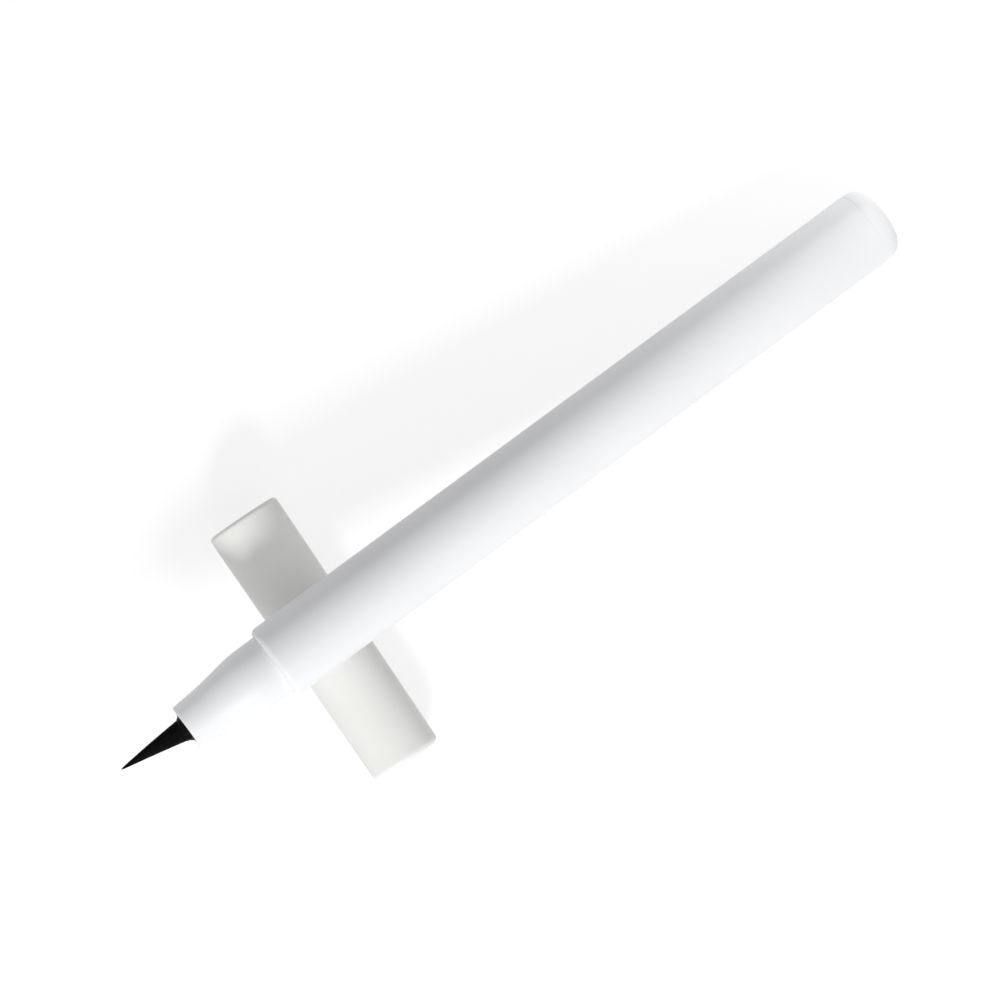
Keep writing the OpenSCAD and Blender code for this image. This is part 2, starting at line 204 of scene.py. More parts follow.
def round_corner(before: Corner, corner: Corner, after: Corner, steps: int) -> list[Corner]:
    """Rounds one corner of an outline by its fillet.

    Args:
        before: The corner before it.
        corner: The corner that is rounded.
        after: The corner after it.
        steps: Number of straight pieces in the rounding.

    Returns:
        The points that take the corner's place.
    """
    a, b, c = (Vector(p[:2]) for p in (before, corner, after))
    u, v = (a - b).normalized(), (c - b).normalized()
    half = u.angle(v) / 2
    if corner.fillet <= 0 or half > STRAIGHT:
        return [corner]
    reach = corner.fillet / math.tan(half)
    middle = b + (u + v).normalized() * corner.fillet / math.sin(half)
    first, last = b + u * reach - middle, b + v * reach - middle
    start, turn = math.atan2(first.y, first.x), last.angle_signed(first)
    return arc(Corner(*middle), corner.fillet, start, start + turn, steps)


@dataclass(frozen=True)
class Lathe:
    """Turns closed outlines into meshes around an axis.

    Attributes:
        axis: The axis they are turned around.
        around: Number of faces around.
        fillet_steps: Number of faces across a rounding.
        guard: Distance from a corner of the loops that keep long straights flat.
        long: Number of guards above which a straight is long.
        crease: Angle in degrees above which an edge stays sharp.
    """

    axis: Axis
    around: int = 192
    fillet_steps: int = 7
    guard: float = 0.1
    long: float = 5.0
    crease: float = 32.0

    def outline(self, corners: Sequence[Corner]) -> list[Corner]:
        """Rounds the corners of a closed outline and adds guard points to its long straights.

        Args:
            corners: The outline's corners in order.

        Returns:
            The points to turn.
        """
        points: list[Corner] = []
        for i, corner in enumerate(corners):
            points += round_corner(corners[i - 1], corner, corners[(i + 1) % len(corners)], self.fillet_steps)
        guarded: list[Corner] = []
        for i, point in enumerate(points):
            a, b = Vector(point[:2]), Vector(points[(i + 1) % len(points)][:2])
            guarded.append(point)
            if (b - a).length > self.long * self.guard and max(a.x, b.x) > self.guard:
                share = self.guard / (b - a).length
                guarded += [Corner(*a.lerp(b, share)), Corner(*a.lerp(b, 1 - share))]
        return guarded

    def turn(self, name: str, corners: Sequence[Corner]) -> Piece:
        """Turns a closed outline into a piece.

        Args:
            name: The piece's name.
            corners: The outline's corners, in order.

        Returns:
            The piece, with its mesh in place.
        """
        rings: list[list[int]] = []
        points: list[Vector] = []
        for corner in self.outline(corners):
            first = len(points)
            if corner.radius < ON_AXIS:
                points.append(self.axis.point(0, 0, corner.height))
                rings.append([first] * self.around)
                continue
            points += [self.axis.point(corner.radius, 2 * math.pi * j / self.around, corner.height)
                       for j in range(self.around)]
            rings.append(list(range(first, first + self.around)))
        faces = []
        for i, low in enumerate(rings):
            high = rings[(i + 1) % len(rings)]
            if low[0] == low[1] and high[0] == high[1]:
                continue
            for j in range(self.around):
                k = (j + 1) % self.around
                faces.append(list(dict.fromkeys((low[j], low[k], high[k], high[j]))))
        return make_piece(name, points, faces, self.crease)


def make_piece(name: str, points: Sequence[Vector], faces: Sequence[Sequence[int]], crease: float = 180.0) -> Piece:
    """Makes an object of points and faces, with its faces turned outwards and shaded smooth.

    Args:
        name: The piece's name.
        points: The mesh's points, in metres.
        faces: Indices of each face's points.
        crease: Angle in degrees above which an edge stays sharp.

    Returns:
        The linked object.
    """
    mesh = bpy.data.meshes.new(name)
    mesh.from_pydata([tuple(p) for p in points], [], [tuple(f) for f in faces])
    work = bmesh.new()
    work.from_mesh(mesh)
    bmesh.ops.recalc_face_normals(work, faces=work.faces)
    work.to_mesh(mesh)
    work.free()
    mesh.shade_smooth()
    mesh.set_sharp_from_angle(angle=math.radians(crease))
    piece = bpy.data.objects.new(name, mesh)
    bpy.context.scene.collection.objects.link(piece)
    return piece


def tube(rings: Sequence[Sequence[Vector]], tip: Optional[Vector] = None) -> tuple[list[Vector], list[list[int]]]:
    """Joins rings of points into a closed tube.

    Args:
        rings: The rings, each with as many points.
        tip: A point that closes the last ring to a spike, or None for a flat end.

    Returns:
        The points and the faces.
    """
    sides = len(rings[0])
    points = [p for ring in rings for p in ring]
    faces = [list(range(sides))]
    for i in range(len(rings) - 1):
        low, high = i * sides, (i + 1) * sides
        faces += [[low + j, low + (j + 1) % sides, high + (j + 1) % sides, high + j] for j in range(sides)]
    last = (len(rings) - 1) * sides
    if tip is None:
        faces.append(list(range(last, last + sides)))
    else:
        points.append(tip)
        faces += [[last + j, last + (j + 1) % sides, len(points) - 1] for j in range(sides)]
    return points, faces


class NodeBoard:
    """Places and joins the nodes of one shader tree."""

    def __init__(self, tree: bpy.types.ShaderNodeTree) -> None:
        """Empties the tree.

        Args:
            tree: The tree to fill.
        """
        self.tree = tree
        self.tree.nodes.clear()

    def add(self, kind: str, inputs: Optional[dict] = None, **settings: Any) -> bpy.types.Node:
        """Adds a node.

        Args:
            kind: The node's type.
            inputs: Socket name or number to its value, or to the output that feeds it.
            settings: The node's own properties.

        Returns:
            The new node.
        """
        node = self.tree.nodes.new(kind)
        node.location = (200 * len(self.tree.nodes), 0)
        for name, value in settings.items():
            setattr(node, name, value)
        self.fill(node, inputs or {})
        return node

    def fill(self, node: bpy.types.Node, inputs: dict) -> None:
        """Sets or feeds a node's inputs.

        Args:
            node: The node.
            inputs: Socket name or number to its value, or to the output that feeds it.
        """
        for key, value in inputs.items():
            if isinstance(value, Socket):
                self.tree.links.new(value, node.inputs[key])
            else:
                node.inputs[key].default_value = value

    def noise(self, vector: Socket, scale: Any, detail: float = 2.0, roughness: float = 0.5,
              distortion: float = 0.0) -> Socket:
        """Adds a noise texture and returns its value."""
        values = {"Vector": vector, "Scale": scale, "Detail": detail, "Roughness": roughness, "Distortion": distortion}
        return self.add("ShaderNodeTexNoise", values).outputs[0]

    def math(self, operation: str, a: Any, b: Any = 0.0, clamp: bool = False) -> Socket:
        """Adds an operation on one or two values and returns its result."""
        return self.add("ShaderNodeMath", {0: a, 1: b}, operation=operation, use_clamp=clamp).outputs[0]

    def span(self, value: Socket, low: Any, high: Any, to_low: float = 0.0, to_high: float = 1.0) -> Socket:
        """Brings a value from one range to another, held within it, and returns the result."""
        values = {"Value": value, "From Min": low, "From Max": high, "To Min": to_low, "To Max": to_high}
        return self.add("ShaderNodeMapRange", values).outputs["Result"]

    def blend(self, share: Any, a: Any, b: Any) -> Socket:
        """Mixes two colours and returns the result."""
        values = {0: share, 6: opaque(a), 7: opaque(b)}
        return self.add("ShaderNodeMix", values, data_type="RGBA").outputs[2]

    def stretch(self, vector: Socket, scale: Sequence[float]) -> Socket:
        """Stretches coordinates along their axes and returns the result."""
        return self.add("ShaderNodeVectorMath", {0: vector, 1: tuple(scale)}, operation="MULTIPLY").outputs[0]


def opaque(colour: Any) -> Any:
    """Returns a plain colour with an alpha of one, and anything else as it is."""
    return (*colour, 1.0) if isinstance(colour, tuple) and len(colour) == 3 else colour


class Effects:
    """The shader node groups that several finishes share, each built once."""

    def __init__(self) -> None:
        """Builds the groups."""
        self.grain = self._grain()
        self.marks = self._marks()
        self.wear_and_highlight = self._wear_and_highlight()
        self.wetness = self._wetness()

    @staticmethod
    def _group(name: str, inputs: dict[str, Any], outputs: Sequence[str]) -> tuple[NodeBoard, Any, bpy.types.Node]:
        """Starts a node group.

        Args:
            name: The group's name.
            inputs: Names of its inputs besides the coordinates, each with its default.
            outputs: Names of its outputs.

        Returns:
            Its board, what its inputs give, and the node that takes its outputs.
        """
        tree = bpy.data.node_groups.new(name, "ShaderNodeTree")
        tree.interface.new_socket(name="Vector", in_out="INPUT", socket_type="NodeSocketVector")
        for key, value in inputs.items():
            socket = tree.interface.new_socket(name=key, in_out="INPUT", socket_type="NodeSocketFloat")
            socket.default_value = value
        for key in outputs:
            tree.interface.new_socket(name=key, in_out="OUTPUT", socket_type="NodeSocketFloat")
        board = NodeBoard(tree)
        return board, board.add("NodeGroupInput").outputs, board.add("NodeGroupOutput")

    def _grain(self) -> bpy.types.ShaderNodeTree:
        """Builds the moulded grain: a fine texture over a slow ripple, and a soft mottling.

        Returns:
            The group, with outputs Height and Mottle.
        """
        inputs = {"Grain Scale": 4000.0, "Ripple Scale": 260.0, "Ripple Share": 0.5}
        board, given, out = self._group("moulded_grain", inputs, ("Height", "Mottle"))
        fine = board.noise(given["Vector"], given["Grain Scale"], detail=3.0, roughness=0.6)
        ripple = board.noise(given["Vector"], given["Ripple Scale"], detail=1.0, roughness=0.4)
        rippled = board.math("MULTIPLY", ripple, given["Ripple Share"])
        kept = board.math("MULTIPLY", fine, board.math("SUBTRACT", 1.0, given["Ripple Share"]))
        slower = board.math("MULTIPLY", given["Ripple Scale"], 0.35)
        slow = board.noise(given["Vector"], slower, detail=4.0, roughness=0.55, distortion=0.4)
        board.fill(out, {"Height": board.math("ADD", rippled, kept), "Mottle": board.span(slow, low=0.32, high=0.68)})
        return board.tree

    def _marks(self) -> bpy.types.ShaderNodeTree:
        """Builds the marks of handling: soft smudges, and hairline scratches along and across the piece.

        Returns:
            The group, with outputs Smudges and Scratches.
        """
        inputs = {"Smudge Scale": 90.0, "Scratch Scale": 500.0}
        board, given, out = self._group("handling_marks", inputs, ("Smudges", "Scratches"))
        cloud = board.noise(given["Vector"], given["Smudge Scale"], detail=5.0, roughness=0.62, distortion=0.8)
        lines = []
        for scale in ((1.0, 1.0, 0.07), (0.16, 0.2, 1.0)):
            drawn = board.stretch(given["Vector"], scale)
            level = board.noise(drawn, given["Scratch Scale"], detail=1.0, distortion=0.3)
            distance = board.math("ABSOLUTE", board.math("SUBTRACT", level, 0.5))
            lines.append(board.span(distance, low=0.0, high=0.006, to_low=1.0, to_high=0.0))
        faster = board.math("MULTIPLY", given["Smudge Scale"], 1.7)
        patch = board.span(board.noise(given["Vector"], faster), low=0.5, high=0.62)
        scratches = board.math("MULTIPLY", board.math("MAXIMUM", *lines), patch)
        board.fill(out, {"Smudges": board.span(cloud, low=0.46, high=0.72), "Scratches": scratches})
        return board.tree

    def _wear_and_highlight(self) -> bpy.types.ShaderNodeTree:
        """Builds the mask of outer edges, where handling leaves a polish and where a lighter colour is painted on as a
        highlight.

        Returns:
            The group, with output Wear.
        """
        board, given, out = self._group("edge_wear_and_highlight", {"Start": 0.515, "Full": 0.6}, ("Wear And Highlight",))
        # Outer edges, found by pointiness: the finish polishes them and also paints a lighter highlight on them.
        edge = board.span(board.add("ShaderNodeNewGeometry").outputs["Pointiness"], given["Start"], given["Full"])
        patchy = board.span(board.noise(given["Vector"], 900.0, detail=4.0, roughness=0.65), low=0.3, high=0.6)
        board.fill(out, {"Wear And Highlight": board.math("MULTIPLY", edge, patchy)})
        return board.tree

    def _wetness(self) -> bpy.types.ShaderNodeTree:
        """Builds the pooling of liquid ink.

        Returns:
            The group, with outputs Pool, where the ink stands, and Ripple, its surface.
        """
        board, given, out = self._group("ink_wetness", {"Pool Scale": 900.0}, ("Pool", "Ripple"))
        pool = board.noise(given["Vector"], given["Pool Scale"], detail=3.0, distortion=0.6)
        ripple = board.noise(given["Vector"], board.math("MULTIPLY", given["Pool Scale"], 3.0))
        board.fill(out, {"Pool": board.span(pool, low=0.36, high=0.6), "Ripple": ripple})
        return board.tree


class Canvas(NodeBoard):
    """The nodes of one material, with coordinates along an axis."""

    def __init__(self, material: bpy.types.Material, axis: Axis) -> None:
        """Lays the coordinates.

        Args:
            material: The material.
            axis: The axis of the pieces that wear it.
        """
        material.use_nodes = True
        super().__init__(material.node_tree)
        local = axis.to_local()
        values = {
            "Vector": self.add("ShaderNodeTexCoord").outputs["Object"],
            "Location": local @ -axis.origin,
            "Rotation": local.to_euler(),
        }
        self.vector = self.add("ShaderNodeMapping", values).outputs["Vector"]

    def effect(self, group: bpy.types.ShaderNodeTree, values: Optional[dict] = None) -> Any:
        """Places a shared group with its own values and returns its outputs."""
        return self.add("ShaderNodeGroup", {"Vector": self.vector, **(values or {})}, node_tree=group).outputs

    def streaks(self, scale: float, squeeze: float, detail: float = 2.0) -> Socket:
        """Returns a noise that is drawn out along the axis by squeezing its coordinates."""
        return self.noise(self.stretch(self.vector, (1.0, 1.0, squeeze)), scale, detail, roughness=0.6)

    def rough(self, share: Socket, finish: "Finish") -> Socket:
        """Returns a finish's roughness, which a share brings from the one end of its range to the other."""
        return self.span(share, 0.0, 1.0, *finish.rough)

    def bump(self, height: Socket, finish: "Finish") -> Socket:
        """Turns a height into a normal, by the depth of a finish."""
        return self.add("ShaderNodeBump", {"Height": height, "Distance": finish.depth * MM}).outputs["Normal"]


@dataclass(frozen=True)
class Finish(ABC):
    """A surface finish that builds one procedural material.

    Attributes:
        name: The material's name.
        colour: Its main colour.
        deep: The colour that its pattern brings in.
        rough: Its roughness at both ends of its range.
        depth: Depth of its relief in millimetres.
    """

    name: str
    colour: Colour
    deep: Colour
    rough: tuple[float, float]
    depth: float

    def material(self, effects: Effects, axis: Axis) -> bpy.types.Material:
        """Builds the material, with its texture laid along an axis.

        Args:
            effects: The shared node groups.
            axis: The axis of the pieces that wear it.

        Returns:
            The material.
        """
        material = bpy.data.materials.new(self.name)
        canvas = Canvas(material, axis)
        shader = canvas.add("ShaderNodeBsdfPrincipled", self.dress(canvas, effects))
        canvas.add("ShaderNodeOutputMaterial", {"Surface": shader.outputs["BSDF"]})
        return material

    @abstractmethod
    def dress(self, canvas: Canvas, effects: Effects) -> dict[str, Any]:
        """Lays the pattern.

        Args:
            canvas: The material's nodes.
            effects: The shared node groups.

        Returns:
            The shader's inputs, as fill takes them.
        """


@dataclass(frozen=True)
class MouldedPlastic(Finish):
    """Opaque moulded plastic with a fine satin grain, mottled and lightly rubbed on its edges, which also carry a
    painted highlight.

    Attributes:
        grain_scale: Number of grains in a metre.
        ripple_share: Share of the depth that is a slow ripple.
        mottle: Share of the deeper colour where the mottling is full.
        wear_and_highlight: Share by which the rubbed edges take the lighter colour, a painted highlight.
        lightening: How many times lighter that painted highlight is than the colour.
        polish: Fall of roughness on rubbed edges.
        scratch: Share by which scratches deepen the colour and cut the grain.
    """

    rough: tuple[float, float] = (0.45, 0.53)
    depth: float = 0.006
    grain_scale: float = 4200.0
    ripple_share: float = 0.35
    mottle: float = 0.7
    wear_and_highlight: float = 0.35
    lightening: float = 1.04
    polish: float = 0.12
    scratch: float = 0.25

    def dress(self, canvas: Canvas, effects: Effects) -> dict[str, Any]:
        """Lays mottled colour with a painted highlight on its edges, smudged roughness and grain.

        Args:
            canvas: The material's nodes.
            effects: The shared node groups.

        Returns:
            The shader's inputs, as fill takes them.
        """
        grain = canvas.effect(effects.grain, {"Grain Scale": self.grain_scale, "Ripple Share": self.ripple_share})
        marks = canvas.effect(effects.marks)
        wear_and_highlight = canvas.effect(effects.wear_and_highlight)["Wear And Highlight"]
        mottled = canvas.blend(canvas.math("MULTIPLY", grain["Mottle"], self.mottle), self.colour, self.deep)
        # Painted highlight: outer edges take a lighter copy of the colour, while the real polish lowers their
        # roughness below.
        light = tuple(min(1.0, c * self.lightening) for c in self.colour)
        highlighted = canvas.blend(canvas.math("MULTIPLY", wear_and_highlight, self.wear_and_highlight), mottled, light)
        scratches = canvas.math("MULTIPLY", marks["Scratches"], self.scratch)
        smudged = canvas.rough(marks["Smudges"], self)
        return {
            "Base Color": canvas.blend(scratches, highlighted, self.deep),
            "Roughness": canvas.math("SUBTRACT", smudged, canvas.math("MULTIPLY", wear_and_highlight, self.polish), clamp=True),
            "Normal": canvas.bump(canvas.math("SUBTRACT", grain["Height"], scratches), self),
            "IOR": 1.47,
            "Specular IOR Level": 0.4,
        }


@dataclass(frozen=True)
class NaturalPlastic(Finish):
    """Unpainted, slightly translucent plastic, smooth from the mould and darker where ink or thickness darkens it.

    Attributes:
        glow: Share of light that passes under its surface.
    """

    rough: tuple[float, float] = (0.3, 0.4)
    depth: float = 0.006
    glow: float = 0.25

    def dress(self, canvas: Canvas, effects: Effects) -> dict[str, Any]:
        """Lays flow-marked colour and a faint ripple.

        Args:
            canvas: The material's nodes.
            effects: The shared node groups.

        Returns:
            The shader's inputs, as fill takes them.
        """
        flow = canvas.stretch(canvas.vector, (1.0, 1.0, 0.25))
        grain = canvas.effect(effects.grain, {"Vector": flow, "Grain Scale": 2600.0, "Ripple Share": 0.8})
        return {
            "Base Color": canvas.blend(grain["Mottle"], self.colour, self.deep),
            "Roughness": canvas.rough(canvas.effect(effects.marks)["Smudges"], self),
            "Normal": canvas.bump(grain["Height"], self),
            "IOR": 1.5,
            "Subsurface Weight": self.glow,
            "Subsurface Scale": 0.6 * MM,
        }


@dataclass(frozen=True)
class Rubber(Finish):
    """Soft black seal rubber with a dusty bloom."""

    colour: Colour = (0.02, 0.02, 0.022)
    deep: Colour = (0.06, 0.06, 0.062)
    rough: tuple[float, float] = (0.6, 0.75)
    depth: float = 0.01

    def dress(self, canvas: Canvas, effects: Effects) -> dict[str, Any]:
        """Lays a patchy bloom and a dull grain.

        Args:
            canvas: The material's nodes.
            effects: The shared node groups.

        Returns:
            The shader's inputs, as fill takes them.
        """
        grain = canvas.effect(effects.grain, {"Ripple Share": 0.2})
        return {
            "Base Color": canvas.blend(canvas.effect(effects.marks)["Smudges"], self.colour, self.deep),
            "Roughness": canvas.rough(grain["Mottle"], self),
            "Normal": canvas.bump(grain["Height"], self),
            "Sheen Weight": 0.15,
            "Sheen Roughness": 0.5,
        }


@dataclass(frozen=True)
class Steel(Finish):
    """Bright drawn or rolled stainless steel, with duller patches.

    Attributes:
        scratch: Depth of the scratches, as a share of that of the draw lines.
    """

    colour: Colour = (0.66, 0.66, 0.67)
    deep: Colour = (0.5, 0.49, 0.48)
    rough: tuple[float, float] = (0.16, 0.32)
    depth: float = 0.002
    scratch: float = 0.5

    def dress(self, canvas: Canvas, effects: Effects) -> dict[str, Any]:
        """Lays draw lines and patchy polish.

        Args:
            canvas: The material's nodes.
            effects: The shared node groups.

        Returns:
            The shader's inputs, as fill takes them.
        """
        marks = canvas.effect(effects.marks, {"Smudge Scale": 260.0})
        lines = canvas.streaks(9000.0, squeeze=0.05)
        height = canvas.math("SUBTRACT", lines, canvas.math("MULTIPLY", marks["Scratches"], self.scratch))
        return {
            "Base Color": canvas.blend(marks["Smudges"], self.colour, self.deep),
            "Roughness": canvas.span(lines, 0.3, 0.7, *self.rough),
            "Normal": canvas.bump(height, self),
            "Metallic": 1.0,
        }


@dataclass(frozen=True)
class FibreRod(Finish):
    """Bonded fibres soaked in ink, paler between the fibres."""

    colour: Colour = (0.008, 0.008, 0.01)
    deep: Colour = (0.05, 0.05, 0.055)
    rough: tuple[float, float] = (0.65, 0.3)
    depth: float = 0.02

    def dress(self, canvas: Canvas, effects: Effects) -> dict[str, Any]:
        """Lays lengthwise fibres and pools of ink.

        Args:
            canvas: The material's nodes.
            effects: The shared node groups.

        Returns:
            The shader's inputs, as fill takes them.
        """
        fibres = canvas.streaks(14000.0, squeeze=0.04, detail=3.0)
        return {
            "Base Color": canvas.blend(canvas.span(fibres, low=0.35, high=0.65), self.colour, self.deep),
            "Roughness": canvas.rough(canvas.effect(effects.wetness)["Pool"], self),
            "Normal": canvas.bump(fibres, self),
            "Specular IOR Level": 0.4,
        }


@dataclass(frozen=True)
class InkedPlastic(Finish):
    """Black plastic with liquid ink on it, and a thin film where the ink dries.

    Attributes:
        coat: Weight of the clear coat where the ink stands.
    """

    colour: Colour = (0.002, 0.002, 0.0024)
    deep: Colour = (0.007, 0.007, 0.0085)
    rough: tuple[float, float] = (0.5, 0.3)
    depth: float = 0.008
    coat: float = 0.03

    def dress(self, canvas: Canvas, effects: Effects) -> dict[str, Any]:
        """Lays drying film, wet pools and their ripple.

        Args:
            canvas: The material's nodes.
            effects: The shared node groups.

        Returns:
            The shader's inputs, as fill takes them.
        """
        wet = canvas.effect(effects.wetness, {"Pool Scale": 1100.0})
        marks = canvas.effect(effects.marks, {"Smudge Scale": 500.0})
        return {
            "Base Color": canvas.blend(marks["Smudges"], self.colour, self.deep),
            "Roughness": canvas.rough(wet["Pool"], self),
            "Coat Weight": canvas.math("MULTIPLY", wet["Pool"], self.coat),
            "Normal": canvas.bump(wet["Ripple"], self),
            "Coat Roughness": 0.1,
            "IOR": 1.33,
            "Specular IOR Level": 0.06,
        }


@dataclass(frozen=True)
class WetBristles(Finish):
    """Fine tapered filaments wet with black ink, a few of them with less of it."""

    colour: Colour = (0.0008, 0.0008, 0.001)
    deep: Colour = (0.004, 0.004, 0.0045)
    rough: tuple[float, float] = (0.52, 0.32)
    depth: float = 0.006

    def dress(self, canvas: Canvas, effects: Effects) -> dict[str, Any]:
        """Lays strands of unlike wetness.

        Args:
            canvas: The material's nodes.
            effects: The shared node groups.

        Returns:
            The shader's inputs, as fill takes them.
        """
        strands = canvas.streaks(7000.0, squeeze=0.06)
        return {
            "Base Color": canvas.blend(canvas.span(strands, low=0.4, high=0.7), self.colour, self.deep),
            "Roughness": canvas.rough(canvas.effect(effects.wetness, {"Pool Scale": 700.0})["Pool"], self),
            "Normal": canvas.bump(strands, self),
            "IOR": 1.33,
            "Specular IOR Level": 0.08,
        }


FINISHES: dict[Slot, Finish] = {
    Slot.SHELL: MouldedPlastic("satin_white_shell", (0.853, 0.856, 0.867), (0.819, 0.822, 0.836)),
    Slot.CAP: MouldedPlastic("satin_white_cap", (0.864, 0.864, 0.836), (0.83, 0.83, 0.8), (0.5, 0.58)),
    Slot.INNER: NaturalPlastic("natural_inner_cap", (0.74, 0.75, 0.74), (0.69, 0.7, 0.69)),
    Slot.TANK: NaturalPlastic("natural_tank", (0.6, 0.62, 0.64), (0.4, 0.42, 0.45), (0.22, 0.32), glow=0.4),
    Slot.COLLECTOR: NaturalPlastic("collector_comb", (0.45, 0.47, 0.5), (0.24, 0.25, 0.28), (0.28, 0.38), glow=0.1),
    Slot.SEAL: Rubber("black_seal"),
    Slot.STEEL: Steel("bright_steel"),
    Slot.FIBRE: FibreRod("inked_fibre_rod"),
    Slot.HOLDER: InkedPlastic("inked_holder"),
    Slot.BRISTLES: WetBristles("wet_bristles"),
}


@dataclass(frozen=True)
class Wardrobe:
    """The finishes of all pieces, as materials laid along the pen or along the cap.

    Attributes:
        effects: The shared node groups.
        pen: The pen's axis.
        cap: The cap's axis.
        made: The materials made so far.
    """

    effects: Effects
    pen: Axis
    cap: Axis
    made: dict[Slot, bpy.types.Material] = field(default_factory=dict)

    def material(self, slot: Slot) -> bpy.types.Material:
        """Returns the material of a slot, made on its first use.

        Args:
            slot: The record's slot.

        Returns:
            Its material.
        """
        if slot not in self.made:
            on_cap = slot in (Slot.CAP, Slot.INNER)
            self.made[slot] = FINISHES[slot].material(self.effects, self.cap if on_cap else self.pen)
        return self.made[slot]

    def dress(self, piece: Piece, slot: Slot) -> None:
        """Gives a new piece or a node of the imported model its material.

        Args:
            piece: The object.
            slot: The record's slot that its finish belongs to.
        """
        piece.data.materials.clear()
        piece.data.materials.append(self.material(slot))


@dataclass
class SubAssembly(ABC):
    """A group of pieces that share an axis.

    Attributes:
        lathe: What turns their round pieces.
        wardrobe: Their finishes.
    """

    lathe: Lathe
    wardrobe: Wardrobe

    @abstractmethod
    def build(self) -> None:
        """Builds the pieces and dresses them."""

    def settle(self, piece: Piece, body: Body, slot: Slot, node: Optional[str] = None) -> Piece:
        """Dresses a new piece, sets it on its body and lets it stand for a node.

        Args:
            piece: The piece, in place.
            body: The body it moves with.
            slot: The record's slot of its finish.
            node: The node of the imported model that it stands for, if any.

        Returns:
            The piece.
        """
        self.wardrobe.dress(piece, slot)
        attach(piece, body.value)
        if node is not None:
            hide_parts(node)
        log.info("%s: %d faces, on %s", piece.name, len(piece.data.polygons), body.value)
        return piece

    def dress_node(self, node: str, slot: Slot) -> None:
        """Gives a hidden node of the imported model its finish."""
        self.wardrobe.dress(frame["nodes"][node], slot)
        log.info("%s: carried over", node)


@dataclass
class Barrel(SubAssembly):
    """The barrel and its tail plug.

    Attributes:
        radius: Outside radius.
        length: Length of the tube.
        bore: Radius of the bore.
        front_edge: Rounding of the front edge.
        bore_edge: Rounding of the bore's front edge.
        joint_edge: Rounding on both sides of the joint at the rear.
        collar: Length of the plug's collar.
        rear_edge: Rounding of the rear edge.
        spigot: Length of the plug's spigot.
        fit: Gap around the spigot.
        plug_wall: Wall of the spigot.
        bead_at: Distance of the snap bead from the rear face.
        bead_width: Width of the bead.
        bead_height: Height of the bead.
    """

    radius: float = 5.2
    length: float = 97.2
    bore: float = 4.15
    front_edge: float = 0.75
    bore_edge: float = 0.04
    joint_edge: float = 0.05
    collar: float = 2.8
    rear_edge: float = 2.4
    spigot: float = 15.0
    fit: float = 0.05
    plug_wall: float = 0.9
    bead_at: float = 4.0
    bead_width: float = 0.9
    bead_height: float = 0.15

    def build(self) -> None:
        """Builds the tube and the plug."""
        self.settle(self.tube(), Body.PEN, Slot.SHELL, "barrel")
        self.settle(self.plug(), Body.PEN, Slot.SHELL, "tail_plug")

    def bead(self, radius: float) -> list[Corner]:
        """Draws the snap bead on a wall.

        Args:
            radius: The wall's radius.

        Returns:
            Its outline from the rear to the front.
        """
        low = self.bead_at - self.length
        crest = Corner(radius + self.bead_height, low + self.bead_width / 2, SMALL)
        return [Corner(radius, low), crest, Corner(radius, low + self.bead_width)]

    def tube(self) -> Piece:
        """Turns the barrel's tube.

        Returns:
            The piece.
        """
        return self.lathe.turn("barrel_tube", [
            Corner(self.bore, -self.length),
            Corner(self.radius, -self.length, self.joint_edge),
            Corner(self.radius, 0, self.front_edge),
            Corner(self.bore, 0, self.bore_edge),
            *reversed(self.bead(self.bore)),
        ])

    def plug(self) -> Piece:
        """Turns the tail plug.

        Returns:
            The piece.
        """
        outer, top = self.bore - self.fit, self.spigot - self.length
        return self.lathe.turn("tail_plug_shell", [
            Corner(0, -self.length - self.collar),
            Corner(self.radius, -self.length - self.collar, self.rear_edge),
            Corner(self.radius, -self.length, self.joint_edge),
            Corner(outer, -self.length),
            *self.bead(outer),
            Corner(outer, top, SMALL),
            Corner(outer - self.plug_wall, top, FINE),
            Corner(outer - self.plug_wall, -self.length, SOFT),
            Corner(0, -self.length),
        ])


